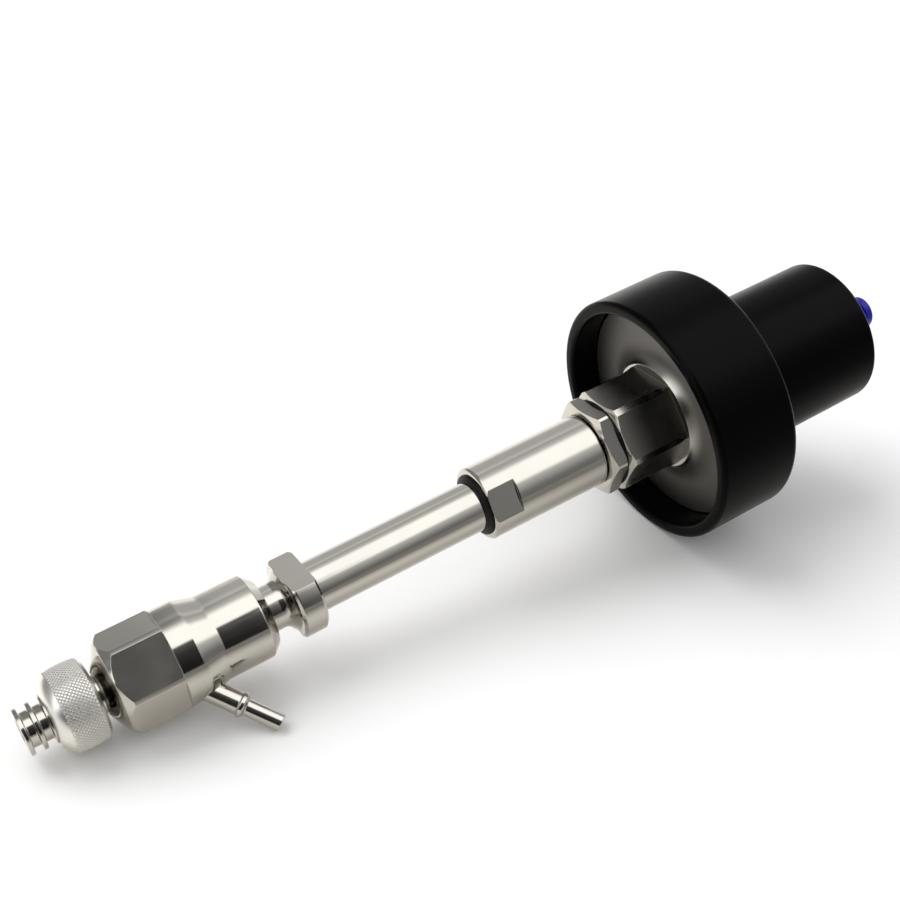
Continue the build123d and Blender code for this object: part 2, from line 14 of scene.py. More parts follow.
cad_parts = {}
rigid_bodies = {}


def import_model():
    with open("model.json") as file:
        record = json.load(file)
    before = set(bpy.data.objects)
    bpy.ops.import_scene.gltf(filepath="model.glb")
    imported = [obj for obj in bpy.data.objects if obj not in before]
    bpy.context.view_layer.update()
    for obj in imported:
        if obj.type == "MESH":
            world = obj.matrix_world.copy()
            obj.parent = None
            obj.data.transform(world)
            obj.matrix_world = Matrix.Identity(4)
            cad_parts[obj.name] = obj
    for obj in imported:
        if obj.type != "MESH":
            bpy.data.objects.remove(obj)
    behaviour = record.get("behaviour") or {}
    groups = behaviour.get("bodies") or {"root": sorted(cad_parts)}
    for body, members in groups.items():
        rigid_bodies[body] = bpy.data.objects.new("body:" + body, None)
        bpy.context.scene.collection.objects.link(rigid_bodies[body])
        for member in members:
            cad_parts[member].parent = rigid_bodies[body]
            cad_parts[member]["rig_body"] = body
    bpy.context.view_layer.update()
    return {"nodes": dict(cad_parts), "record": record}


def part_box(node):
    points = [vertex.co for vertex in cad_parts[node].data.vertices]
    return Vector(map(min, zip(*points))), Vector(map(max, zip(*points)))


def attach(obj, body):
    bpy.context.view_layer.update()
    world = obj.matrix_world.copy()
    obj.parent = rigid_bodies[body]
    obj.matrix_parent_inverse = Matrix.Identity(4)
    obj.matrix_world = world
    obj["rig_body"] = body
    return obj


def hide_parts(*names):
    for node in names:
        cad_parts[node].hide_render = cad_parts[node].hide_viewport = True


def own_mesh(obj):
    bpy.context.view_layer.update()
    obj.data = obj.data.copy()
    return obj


bl_info = {
    "name": "Filling valve head",
    "version": (1, 0, 0),
    "blender": (4, 5, 0),
    "location": "3D View > Sidebar > Valve head",
    "description": "Builds the finishes and fine pieces of an air-operated filling valve head",
    "category": "Object",
}

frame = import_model()
nodes = frame["nodes"]

MM = 0.001


# ---------------------------------------------------------------- sizes and colours
def linear(code):
    """Linear RGB of an sRGB hex colour such as "#C8C6C0"."""
    shares = [int(code[i:i + 2], 16) / 255 for i in (1, 3, 5)]
    return tuple(s / 12.92 if s <= 0.04045 else ((s + 0.055) / 1.055) ** 2.4 for s in shares)


def length(name, description, millimetres):
    """A length property with its default given in millimetres."""
    return bpy.props.FloatProperty(
        name=name, description=description, default=millimetres * MM, unit="LENGTH", precision=5
    )


def colour(name, description, code):
    """A colour property with its default given as an sRGB hex value."""
    return bpy.props.FloatVectorProperty(
        name=name, description=description, default=linear(code), subtype="COLOR", min=0, max=1
    )


class ValveHeadSizes(bpy.types.PropertyGroup):
    """Sizes of the pieces that are modelled here."""

    knurl_pitch: length("Knurl pitch", "Width of one diamond round the union nut", 1.2)
    knurl_depth: length("Knurl depth", "Height of the diamonds", 0.24)
    knurl_width: length("Knurl band", "Length of the knurled band along the axis", 9.6)
    knurl_crown: length("Knurl crown", "How far the band's middle stands over its ends", 0.45)
    body_flats: length("Body flats", "Distance across the flats of the valve body", 27.0)
    jam_nut_flats: length("Jam nut flats", "Distance across the flats of the jam nut", 28.0)
    bonnet_flats: length("Bonnet flats", "Distance across the flats of the bonnet", 30.0)
    coupling_flats: length("Coupling flats", "Distance across the flats of the tube coupling", 17.6)
    sleeve_flats: length("Sleeve flats", "Distance across the flats of the sleeve", 21.1)
    # between these two radii the bonnet's dish gets its dull finish and its painted shade
    dish_start: length("Dish start", "Radius where the bonnet's polish starts to fade", 16.8)
    dish_end: length("Dish end", "Radius where the bonnet's dish is fully dull", 21.0)
    edge_round: length("Edge rounding", "Rounding of the nut's turned edges", 0.4)
    turning_pitch: length("Turning marks", "Distance between turning marks, drawn coarse to show", 0.35)
    spring_wire: length("Spring wire", "Diameter of the return spring's wire", 2.4)
    spring_turns: bpy.props.IntProperty(
        name="Spring turns", description="Turns of the return spring", default=5
    )
    floor_tilt: bpy.props.FloatProperty(
        name="Floor tilt",
        description="Angle of the floor to the valve axis, as the head lies on its bell",
        default=math.radians(8.0),
        subtype="ANGLE",
    )


class ValveHeadColours(bpy.types.PropertyGroup):
    """Colours of the finishes."""

    stainless: colour("Stainless steel", "Polished stainless steel", "#BFBCB5")
    ground: colour("Ground steel", "Ground or milled stainless steel", "#C6C3BB")
    # the dish's colour is partly blasted steel and partly painted shade of the bell's recess round it
    dish: colour("Dish", "Blasted stainless steel of the bonnet's dish", "#64625F")
    # the knurl roots are darker than the tops: painted shade in the creases between the diamonds
    roots: colour("Knurl roots", "Dull stainless steel between the diamonds", "#D2D0CA")
    tops: colour("Knurl tops", "Satin stainless steel of the union nut", "#E6E4DF")
    # these flats lie near the bell: their colour is darkened with painted shade of the bell, and their
    # dullness is a rough finish
    dull_shaded_flats: colour("Dull flats", "Milled stainless steel near the bell, left dull", "#8C8A85")
    spring: colour("Spring steel", "Drawn spring wire", "#9C9A96")
    black: colour("Black anodising", "Black anodised aluminium", "#050506")
    aluminium: colour("Aluminium", "Bare turned aluminium", "#D6D7D9")
    bronze: colour("Bronze", "Sintered bronze of the rear bush", "#B98B57")
    nickel: colour("Nickel plating", "Nickel plated brass", "#CBC4B4")
    rubber: colour("Rubber", "Nitrile rubber", "#0A0A0A")
    white: colour("PTFE", "White PTFE", "#E9E7E0")
    blue: colour("Blue acetal", "Release ring", "#080E9C")
    floor: colour("Floor", "Pale floor", "#FDFDFD")


# ---------------------------------------------------------------- node helpers
# sockets of a Mix node that mixes colours: its sockets for numbers and vectors have the same names
FACTOR, FIRST, SECOND, MIXED = 0, 6, 7, 2


def add(tree, kind, inputs=None, **settings):
    """Adds a node. settings are its properties; inputs are socket values, or the sockets that feed them."""
    node = tree.nodes.new(kind)
    for name, value in settings.items():
        setattr(node, name, value)
    for name, value in (inputs or {}).items():
        if isinstance(value, bpy.types.NodeSocket):
            tree.links.new(value, node.inputs[name])
        else:
            node.inputs[name].default_value = value
    return node


def start_material(name):
    """An empty node material, with its tree, its shader and the object coordinates."""
    material = bpy.data.materials.new(name)
    material.use_nodes = True
    tree = material.node_tree
    tree.nodes.clear()
    shader = add(tree, "ShaderNodeBsdfPrincipled")
    add(tree, "ShaderNodeOutputMaterial", {"Surface": shader.outputs["BSDF"]})
    place = add(tree, "ShaderNodeTexCoord").outputs["Object"]
    return material, tree, shader, place


def shaded(shade, factor=1):
    """A colour made darker by a factor, as a colour socket takes it."""
    return (*(channel * factor for channel in shade), 1)


# ---------------------------------------------------------------- finishes
# the values that a noise seldom leaves
NOISE_LOW, NOISE_HIGH = 0.3, 0.7
# stains from handling, on metal, and what they make of its roughness
STAIN_SIZE = 12 * MM
STAIN_ROUGHNESS = (0.8, 1.25)
# hairline scratches along the axis, and what they add to the roughness
SCRATCH_LENGTH = 6 * MM
SCRATCH_WIDTH = 0.2 * MM
SCRATCH_ROUGHNESS = (-0.015, 0.025)
# rounding of metal edges, as far as the light shows it
EDGE_RADIUS = 0.25 * MM
# rubbed patches on rubber, plastic and anodised metal, their shade, and what they make of the roughness
PATCH_SIZE = 15 * MM
PATCH_SHADE = 0.75
PATCH_ROUGHNESS = (0.88, 1.12)


def turned_metal(shade, pitch, rough, groove, wear=0.9, rim=None):
    """Metal turned on a lathe: fine grooves round the axis, soft stains and hairline scratches.

    pitch is the distance between turning marks, groove their depth, and wear how dark the stains are.
    rim is (start radius, end radius, shade, roughness) of an outer part with a duller finish and a darker
    colour, which on the bonnet's dish is painted shade.
    """
    material, tree, shader, place = start_material("turned_metal")
    along = add(tree, "ShaderNodeSeparateXYZ", {"Vector": place}).outputs["X"]
    marks = add(
        tree, "ShaderNodeTexNoise", {"W": along, "Scale": 1 / pitch, "Detail": 3, "Roughness": 0.7},
        noise_dimensions="1D",
    ).outputs["Fac"]
    stains = add(
        tree, "ShaderNodeTexNoise", {"Vector": place, "Scale": 1 / STAIN_SIZE, "Detail": 4, "Roughness": 0.6}
    ).outputs["Fac"]
    stretched = add(
        tree, "ShaderNodeMapping",
        {"Vector": place, "Scale": (1 / SCRATCH_LENGTH, 1 / SCRATCH_WIDTH, 1 / SCRATCH_WIDTH)},
    ).outputs["Vector"]
    scratches = add(tree, "ShaderNodeTexNoise", {"Vector": stretched, "Scale": 1, "Detail": 2}).outputs["Fac"]
    skin = add(
        tree, "ShaderNodeMix", {FACTOR: stains, FIRST: shaded(shade), SECOND: shaded(shade, wear)},
        data_type="RGBA",
    ).outputs[MIXED]
    if rim is None:
        smoothest, roughest = STAIN_ROUGHNESS
        rough_stains = add(
            tree, "ShaderNodeMapRange",
            {
                "Value": stains, "From Min": NOISE_LOW, "From Max": NOISE_HIGH,
                "To Min": rough * smoothest, "To Max": rough * roughest,
            },
        ).outputs["Result"]
    else:
        start, end, rim_shade, rim_rough = rim
        # the outer part's duller finish and darker colour fade in by radius; on the bonnet's dish that darker
        # colour is painted shade
        across = add(tree, "ShaderNodeVectorMath", {0: place, 1: (0, 1, 1)}, operation="MULTIPLY")
        radius = add(tree, "ShaderNodeVectorMath", {0: across.outputs["Vector"]}, operation="LENGTH")
        outer = add(
            tree, "ShaderNodeMapRange",
            {"Value": radius.outputs["Value"], "From Min": start, "From Max": end},
            interpolation_type="SMOOTHSTEP",
        ).outputs["Result"]
        rim_skin = add(
            tree, "ShaderNodeMix",
            {FACTOR: stains, FIRST: shaded(rim_shade), SECOND: shaded(rim_shade, wear)},
            data_type="RGBA",
        ).outputs[MIXED]
        skin = add(
            tree, "ShaderNodeMix", {FACTOR: outer, FIRST: skin, SECOND: rim_skin}, data_type="RGBA"
        ).outputs[MIXED]
        rough_stains = add(
            tree, "ShaderNodeMapRange", {"Value": outer, "To Min": rough, "To Max": rim_rough}
        ).outputs["Result"]
    tree.links.new(skin, shader.inputs["Base Color"])
    smoother, rougher = SCRATCH_ROUGHNESS
    rough_lines = add(
        tree, "ShaderNodeMapRange",
        {
            "Value": scratches, "From Min": NOISE_LOW, "From Max": NOISE_HIGH,
            "To Min": smoother, "To Max": rougher,
        },
    ).outputs["Result"]
    roughness = add(
        tree, "ShaderNodeMath", {0: rough_stains, 1: rough_lines}, operation="ADD", use_clamp=True
    ).outputs["Value"]
    tree.links.new(roughness, shader.inputs["Roughness"])
    relief = add(tree, "ShaderNodeMath", {0: marks, 1: scratches}, operation="ADD").outputs["Value"]
    edges = add(tree, "ShaderNodeBevel", {"Radius": EDGE_RADIUS}, samples=4).outputs["Normal"]
    bump = add(
        tree, "ShaderNodeBump", {"Strength": 1.0, "Distance": groove, "Height": relief, "Normal": edges}
    )
    tree.links.new(bump.outputs["Normal"], shader.inputs["Normal"])
    shader.inputs["Metallic"].default_value = 1.0
    return material


def polished_stainless(sizes, colours):
    """Stainless steel, turned and polished: bright, with faint rings left by the lathe."""
    return turned_metal(colours.stainless, sizes.turning_pitch, rough=0.09, groove=0.0006 * MM)


def ground_stainless(sizes, colours):
    """Stainless steel as milled: a little duller than the polished parts."""
    return turned_metal(colours.ground, sizes.turning_pitch, rough=0.13, groove=0.0006 * MM, wear=0.85)


def knurl_roots(sizes, colours):
    """Stainless steel torn by the knurling wheel: dull, and darker than the tops of the diamonds with painted
    shade in the creases.
    """
    return turned_metal(colours.roots, sizes.turning_pitch, rough=0.4, groove=0.002 * MM)


def dished_stainless(sizes, colours):
    """Stainless steel, polished at the hexagon and blasted in the dish: the shine fades outwards, and the
    dish is darkened with painted shade of the bell round it.
    """
    rim = (sizes.dish_start, sizes.dish_end, colours.dish, 0.45)
    return turned_metal(colours.stainless, sizes.turning_pitch, rough=0.16, groove=0.001 * MM, rim=rim)


def knurled_stainless(sizes, colours):
    """Stainless steel pressed by a knurling wheel: satin, with duller roots between the diamonds."""
    return turned_metal(colours.tops, sizes.turning_pitch, rough=0.28, groove=0.001 * MM)


def dull_shaded_flats(sizes, colours):
    """Stainless steel as it left a coarse milling cutter, with little shine, and darkened grey with painted
    shade of the bell these flats lie near.
    """
    return turned_metal(colours.dull_shaded_flats, sizes.turning_pitch, rough=0.3, groove=0.001 * MM)


def spring_steel(sizes, colours):
    """Drawn wire: grey and a little dull."""
    return turned_metal(colours.spring, sizes.turning_pitch, rough=0.35, groove=0.001 * MM)


def turned_aluminium(sizes, colours):
    """Bare aluminium with open turning marks."""
    return turned_metal(colours.aluminium, sizes.turning_pitch, rough=0.3, groove=0.003 * MM)


def nickel_plated_brass(sizes, colours):
    """Brass with a thin bright nickel coat, slightly warm."""
    return turned_metal(colours.nickel, sizes.turning_pitch, rough=0.18, groove=0.001 * MM)


def bronze(sizes, colours):
    """Sintered bronze: porous and dull."""
    return turned_metal(colours.bronze, 0.1 * MM, rough=0.45, groove=0.006 * MM, wear=0.7)


def dull_solid(shade, rough, grain, relief, specular=0.5):
    """A solid without metal in its look: rubber, plastic or anodised metal, with a fine grain.

    grain is the width of a grain and relief its height.
    """
    material, tree, shader, place = start_material("dull_solid")
    fine = add(
        tree, "ShaderNodeTexNoise", {"Vector": place, "Scale": 1 / grain, "Detail": 3, "Roughness": 0.6}
    ).outputs["Fac"]
    patches = add(
        tree, "ShaderNodeTexNoise", {"Vector": place, "Scale": 1 / PATCH_SIZE, "Detail": 5, "Roughness": 0.6}
    ).outputs["Fac"]
    skin = add(
        tree, "ShaderNodeMix", {FACTOR: patches, FIRST: shaded(shade), SECOND: shaded(shade, PATCH_SHADE)},
        data_type="RGBA",
    ).outputs[MIXED]
    tree.links.new(skin, shader.inputs["Base Color"])
    smoothest, roughest = PATCH_ROUGHNESS
    roughness = add(
        tree, "ShaderNodeMapRange",
        {
            "Value": patches, "From Min": NOISE_LOW, "From Max": NOISE_HIGH,
            "To Min": rough * smoothest, "To Max": rough * roughest,
        },
    ).outputs["Result"]
    tree.links.new(roughness, shader.inputs["Roughness"])
    bump = add(tree, "ShaderNodeBump", {"Strength": 1.0, "Distance": relief, "Height": fine})
    tree.links.new(bump.outputs["Normal"], shader.inputs["Normal"])
    shader.inputs["Specular IOR Level"].default_value = specular
    return material


def black_anodised_aluminium(sizes, colours):
    """Aluminium, bead blasted and dyed black while anodised: satin, with a soft sheen at its edges."""
    return dull_solid(colours.black, rough=0.25, grain=0.25 * MM, relief=0.001 * MM, specular=0.04)


def black_rubber(sizes, colours):
    """Moulded nitrile rubber: matt, near black."""
    return dull_solid(colours.rubber, rough=0.5, grain=0.3 * MM, relief=0.005 * MM, specular=0.2)


def white_ptfe(sizes, colours):
    """Machined PTFE: white, waxy, slightly shiny."""
    return dull_solid(colours.white, rough=0.4, grain=0.4 * MM, relief=0.005 * MM)


def blue_acetal(sizes, colours):
    """Injection moulded acetal, dyed blue all through: smooth and half glossy."""
    return dull_solid(colours.blue, rough=0.32, grain=0.5 * MM, relief=0.003 * MM, specular=0.3)


FINISHES = {
    "polished_stainless": polished_stainless,
    "ground_stainless": ground_stainless,
    "dished_stainless": dished_stainless,
    "knurl_roots": knurl_roots,
    "dull_shaded_flats": dull_shaded_flats,
    "knurled_stainless": knurled_stainless,
    "spring_steel": spring_steel,
    "turned_aluminium": turned_aluminium,
    "nickel_plated_brass": nickel_plated_brass,
    "bronze": bronze,
    "black_anodised_aluminium": black_anodised_aluminium,
    "black_rubber": black_rubber,
    "white_ptfe": white_ptfe,
    "blue_acetal": blue_acetal,
}


# how far a wrench flat's normal may lean along the axis, and its distance from the axis may be off
FLAT_LEAN = 0.02
FLAT_SLACK = 0.03 * MM


def finish(context, kind):
    """The material of a finish, made the first time it is asked for."""
    name = "finish_" + kind
    made = bpy.data.materials.get(name)
    if made is None:
        made = FINISHES[kind](context.scene.valve_sizes, context.scene.valve_colours)
        made.name = name
    return made


def give_finish(piece, material):
    """Puts one material on all of a piece."""
    piece.data.materials.clear()
    piece.data.materials.append(material)


def give_flats(piece, across, material):
    """Puts a second material on a piece's wrench flats, which lie half of across from the axis."""
    piece.data.materials.append(material)
    found = 0
    for face in piece.data.polygons:
        off = face.normal.dot(face.center) - across / 2
        if abs(face.normal.x) < FLAT_LEAN and abs(off) < FLAT_SLACK:
            face.material_index = 1
            found += 1
    if not found:
        raise RuntimeError(f"{piece.name} has no flats {across / MM:.1f} mm apart")


# ---------------------------------------------------------------- mesh work
# points nearer to each other than this are merged
MERGE_DISTANCE = 0.001 * MM
# an outline's corner is found within this distance
CORNER_SLACK = 0.01 * MM
# how far a poked centre may be from halfway between two rings, as a share of their distance
HALFWAY_SLACK = 0.1
# width of the slope round a diamond's top, as a share of the knurl's pitch
DIAMOND_SLOPE = 0.14


def deselect(mesh):
    """Selects nothing in a mesh, from object mode."""
    for elements in (mesh.vertices, mesh.edges, mesh.polygons):
        for element in elements:
            element.select = False


def choose(mesh, wanted):
    """Goes to edit mode with exactly the faces selected for which wanted(face) is true."""
    bpy.ops.object.mode_set(mode="OBJECT")
    deselect(mesh)
    for face in mesh.polygons:
        face.select = bool(wanted(face))
    bpy.ops.object.mode_set(mode="EDIT")


def draw_outline(name, corners):
    """Starts a piece: its closed half section in the XZ plane, each corner (x, r) drawn by extrusion."""
    bpy.ops.object.select_all(action="DESELECT")
    x, r = corners[0]
    bpy.ops.mesh.primitive_plane_add(size=MM, location=(x, 0, r))
    piece = bpy.context.object
    piece.name = name
    bpy.ops.object.mode_set(mode="EDIT")
    bpy.ops.mesh.select_mode(type="VERT")
    bpy.ops.mesh.select_all(action="SELECT")
    bpy.ops.mesh.merge(type="CENTER")
    for nearer, further in zip(corners, corners[1:] + corners[:1]):
        step = (further[0] - nearer[0], 0, further[1] - nearer[1])
        bpy.ops.mesh.extrude_region_move(TRANSFORM_OT_translate={"value": step})
    bpy.ops.mesh.select_all(action="SELECT")
    bpy.ops.mesh.remove_doubles(threshold=MERGE_DISTANCE)
    bpy.ops.object.mode_set(mode="OBJECT")
    bpy.ops.object.transform_apply(location=True, rotation=True, scale=True)
    return piece


def round_corner(piece, corner, offset, segments):
    """Bevels the outline's point at a corner (x, r)."""
    mesh = piece.data
    x, r = corner
    place = Vector((x, 0, r))
    deselect(mesh)
    for vertex in mesh.vertices:
        vertex.select = (vertex.co - place).length < CORNER_SLACK
    bpy.ops.object.mode_set(mode="EDIT")
    bpy.ops.mesh.bevel(affect="VERTICES", offset=offset, segments=segments)
    bpy.ops.object.mode_set(mode="OBJECT")


def spin_outline(piece, steps):
    """Spins the outline round the valve axis and turns its faces outwards."""
    bpy.ops.object.mode_set(mode="EDIT")
    bpy.ops.mesh.select_all(action="SELECT")
    bpy.ops.mesh.spin(steps=steps, angle=2 * math.pi, center=(0, 0, 0), axis=(1, 0, 0))
    bpy.ops.mesh.select_all(action="SELECT")
    bpy.ops.mesh.remove_doubles(threshold=MERGE_DISTANCE)
    bpy.ops.mesh.normals_make_consistent(inside=False)
    bpy.ops.object.mode_set(mode="OBJECT")


def smooth_by_angle(piece, degrees):
    """Smooth shading, with edges sharper than the angle kept."""
    bpy.ops.object.select_all(action="DESELECT")
    piece.select_set(True)
    bpy.context.view_layer.objects.active = piece
    bpy.ops.object.shade_smooth_by_angle(angle=math.radians(degrees))


def hang_on(piece, node):
    """Lets a piece stand for a CAD node: same body, and the node is hidden."""
    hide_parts(node)
    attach(piece, nodes[node]["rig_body"])


def cut_diamonds(piece, start, end, rows, pitch, depth):
    """Turns the band between start and end into rows of raised diamonds, as a knurling wheel leaves them."""
    mesh = piece.data

    def on_band(face):
        outward = face.normal.dot(Vector((0, face.center.y, face.center.z)))
        return outward > 0 and start < face.center.x < end

    def is_centre(vertex):
        """True for a poked centre, which lies halfway between two rings of the band."""
        place = (mesh.vertices[vertex].co.x - start) / (end - start) * rows
        return abs(place - math.floor(place) - 0.5) < HALFWAY_SLACK

    def is_diamond(face):
        """True for a quad with two poked centres."""
        return len(face.vertices) == 4 and sum(map(is_centre, face.vertices)) == 2

    choose(mesh, on_band)
    bpy.ops.mesh.select_mode(type="FACE")
    bpy.ops.mesh.poke()
    bpy.ops.object.mode_set(mode="OBJECT")
    band = [face for face in mesh.polygons if on_band(face) and len(face.vertices) == 3]
    uses = Counter(key for face in band for key in face.edge_keys)
    # the old edges inside the band are dissolved, and those at the poked centres stay as the diamonds' sides
    deselect(mesh)
    for edge in mesh.edges:
        edge.select = uses[edge.key] == 2 and not any(map(is_centre, edge.vertices))
    bpy.ops.object.mode_set(mode="EDIT")
    bpy.ops.mesh.select_mode(type="EDGE")
    bpy.ops.mesh.dissolve_edges(use_verts=False)
    bpy.ops.mesh.select_mode(type="FACE")
    choose(mesh, lambda face: on_band(face) and is_diamond(face))
    bpy.ops.mesh.inset(thickness=DIAMOND_SLOPE * pitch, depth=depth, use_individual=True)
    bpy.ops.object.mode_set(mode="OBJECT")
    if not any(face.select for face in mesh.polygons):
        raise RuntimeError("the knurled band has no diamonds")
    # the slopes between the diamonds get the second material, whose darker colour is painted shade in the
    # creases
    for face in mesh.polygons:
        if on_band(face) and not face.select:
            face.material_index = 1


# ---------------------------------------------------------------- pieces
# how far the union nut's front lip covers the spigot's flange, and the flange's play in the nut
NUT_LIP = 1.3 * MM
NUT_PLAY = 0.55 * MM
# the nut's flat front ring, and the taper behind it, which ends at a share of the outer radius
NUT_FRONT_RING = 1.3 * MM
NUT_TAPER = 1.3 * MM
NUT_SHOULDER = 0.87
NUT_SHOULDER_ROUND = 1.6 * MM
# how much lower the nut's back edge is than its outer radius, and the chamfer at the bore's back end
NUT_BACK_STEP = 2.0 * MM
NUT_BORE_CHAMFER = 0.5 * MM
# how far the knurled band's middle lies behind the nut's
NUT_BAND_SHIFT = 1.1 * MM
# points along a rounded edge and a rounded shoulder, and the sharpest angle in degrees that is shaded smooth
NUT_EDGE_SEGMENTS = 3
NUT_SHOULDER_SEGMENTS = 5
NUT_SMOOTH_ANGLE = 28
# corners of the spring wire's section, steps in a turn of the spring, and its smooth angle in degrees
WIRE_SIDES = 16
COIL_STEPS = 48
COIL_SMOOTH_ANGLE = 40


class VALVEHEAD_OT_finishes(bpy.types.Operator):
    """Give every carried-over part the finish of its material slot"""

    bl_idname = "valvehead.finishes"
    bl_label = "Finish the parts"

    def execute(self, context):
        for part in frame["record"]["subparts"]:
            give_finish(nodes[part["node"]], finish(context, part["material_slot"]))
        give_finish(nodes["bonnet"], finish(context, "dished_stainless"))
        sizes = context.scene.valve_sizes
        # the jam nut's and the bonnet's flats, near the bell, get a finish darkened with painted shade of the
        # bell
        for node, across, kind in (
            ("valve_body", sizes.body_flats, "ground_stainless"),
            ("jam_nut", sizes.jam_nut_flats, "dull_shaded_flats"),
            ("bonnet", sizes.bonnet_flats, "dull_shaded_flats"),
            ("tube_coupling", sizes.coupling_flats, "ground_stainless"),
            ("sleeve", sizes.sleeve_flats, "ground_stainless"),
        ):
            give_flats(nodes[node], across, finish(context, kind))
        return {"FINISHED"}


class VALVEHEAD_OT_union_nut(bpy.types.Operator):
    """Turn the union nut and knurl its grip"""

    bl_idname = "valvehead.union_nut"
    bl_label = "Union nut"

    def execute(self, context):
        sizes = context.scene.valve_sizes
        low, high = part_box("knurled_nut")
        front, back, outer = low.x, high.x, high.z
        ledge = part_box("thrust_washer")[0].x
        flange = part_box("outlet_spigot")[1].z
        opening, bore = flange - NUT_LIP, flange + NUT_PLAY
        base = outer - sizes.knurl_depth
        steps = round(2 * math.pi * outer / sizes.knurl_pitch)
        rows = round(sizes.knurl_width / sizes.knurl_pitch)
        middle = (front + back) / 2 + NUT_BAND_SHIFT
        start, end = middle - sizes.knurl_width / 2, middle + sizes.knurl_width / 2
        crown = []
        for row in range(rows + 1):
            share = row / rows
            fall = sizes.knurl_crown * (2 * share - 1) ** 2
            crown.append((start + (end - start) * share, base - fall))
        ring_edge = (front, opening + NUT_FRONT_RING)
        shoulder = (front + NUT_TAPER, NUT_SHOULDER * outer)
        back_edge = (back, outer - NUT_BACK_STEP)
        corners = [
            (front, opening),
            ring_edge,
            shoulder,
            *crown,
            back_edge,
            (back, bore + NUT_BORE_CHAMFER),
            (back - NUT_BORE_CHAMFER, bore),
            (ledge, bore),
            (ledge, opening),
        ]
        piece = draw_outline("union_nut_knurled", corners)
        round_corner(piece, ring_edge, sizes.edge_round, NUT_EDGE_SEGMENTS)
        round_corner(piece, shoulder, NUT_SHOULDER_ROUND, NUT_SHOULDER_SEGMENTS)
        round_corner(piece, back_edge, sizes.edge_round, NUT_EDGE_SEGMENTS)
        spin_outline(piece, steps)
        give_finish(piece, finish(context, "knurled_stainless"))
        piece.data.materials.append(finish(context, "knurl_roots"))
        cut_diamonds(piece, start, end, rows, sizes.knurl_pitch, sizes.knurl_depth)
        smooth_by_angle(piece, NUT_SMOOTH_ANGLE)
        hang_on(piece, "knurled_nut")
        return {"FINISHED"}


class VALVEHEAD_OT_return_spring(bpy.types.Operator):
    """Wind the return spring as one rigid coil, which does not shorten as the piston moves"""

    bl_idname = "valvehead.return_spring"
    bl_label = "Return spring"

    def execute(self, context):
        sizes = context.scene.valve_sizes
        low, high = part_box("return_spring")
        wire = sizes.spring_wire / 2
        rise = high.x - low.x - 2 * wire
        bpy.ops.object.select_all(action="DESELECT")
        bpy.ops.mesh.primitive_circle_add(
            vertices=WIRE_SIDES,
            radius=wire,
            location=(low.x + wire, 0, high.z - wire),
            rotation=(math.pi / 2, 0, 0),
        )
        piece = context.object
        piece.name = "return_spring_wound"
        bpy.ops.object.transform_apply(location=True, rotation=True, scale=True)
        coil = piece.modifiers.new("coil", "SCREW")
        coil.axis = "X"
        coil.steps = COIL_STEPS
        coil.iterations = sizes.spring_turns
        coil.screw_offset = rise / sizes.spring_turns
        bpy.ops.object.modifier_apply(modifier=coil.name)
        bpy.ops.object.mode_set(mode="EDIT")
        bpy.ops.mesh.select_all(action="SELECT")
        bpy.ops.mesh.fill_holes(sides=0)
        bpy.ops.mesh.select_all(action="SELECT")
        bpy.ops.mesh.normals_make_consistent(inside=False)
        bpy.ops.object.mode_set(mode="OBJECT")
        smooth_by_angle(piece, COIL_SMOOTH_ANGLE)
        give_finish(piece, finish(context, "spring_steel"))
        hang_on(piece, "return_spring")
        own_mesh(piece)
        return {"FINISHED"}


# ---------------------------------------------------------------- stage
# the camera, with its lens and sensor in millimetres
CAMERA_PLACE = Vector((-14.79, -305.88, 286.94)) * MM
CAMERA_VIEW = Vector((0.3601, 0.7079, -0.6077))
CAMERA_LENS = 58.91
SENSOR_WIDTH = 36.0
CAMERA_NEAR = 10 * MM
# the paper sweep: its side in metres, the width of its grain, and the shade of the grain's dark side
FLOOR_SIZE = 6.0
PAPER_GRAIN = 2 * MM
PAPER_SHADE = 0.99
# light from all sides, as a share of the backdrop's own, and a broad light from one side
FILL_LIGHT = 0.76
KEY_LIGHT = 1.4
KEY_SPREAD = math.radians(50)
KEY_DIRECTION = Vector((-0.15, 0.5, 0.85))

# light that the metal mirrors, by degrees round the valve axis from +Y towards +Z
ROOM = [
    # backdrop behind the head, brightest at its foot, with its upper hem at 60 degrees
    (0, 1.25), (15, 0.70), (40, 0.70), (52, 0.95), (60, 0.62), (74, 0.95),
    # softbox overhead
    (86, 2.0), (130, 2.0),
    # dim side of the room, where the camera stands
    (140, 0.85), (160, 0.45), (170, 0.27), (182, 0.25),
    # foot of the backdrop
    (340, 1.5),
]
# the floor's brightness as the metal mirrors it, by the distance in metres from the valve axis along Y:
# painted shade towards the camera and painted brightness behind, which only reflections see
FLOOR_PAINTED_REFLECTION = [(-0.14, 0.28), (-0.09, 0.55), (-0.045, 0.95), (0.015, 1.0), (0.035, 1.3), (0.2, 1.2)]
# a slight yellowing of the floor's painted reflection
FLOOR_WARMTH = 0.975
# parts of the room that dim what the metal mirrors, by their brightness. A part fades in over a range of the
# direction's share along X, and over a range of the degrees above
DIM_PARTS = [
    # holder of the camera
    ((0.27, 0.20), (118, 125), 0.055),
    # shaded end of the backdrop
    ((0.19, 0.13), (78, 66), 0.45),
]


def floor_normal(context):
    """Upward direction of the floor, which the head lies on."""
    tilt = context.scene.valve_sizes.floor_tilt
    return Vector((math.sin(tilt), 0, math.cos(tilt)))


def fill_ramp(ramp, points, warmth=1):
    """Sets the stops of a colour ramp. Each point is (position, value), and a warmth under 1 yellows them."""
    stops = ramp.color_ramp.elements
    while len(stops) > 1:
        stops.remove(stops[-1])
    for index, (position, value) in enumerate(points):
        stop = stops[0] if index == 0 else stops.new(position)
        stop.position = position
        stop.color = (value, value * warmth, value * warmth ** 3, 1)


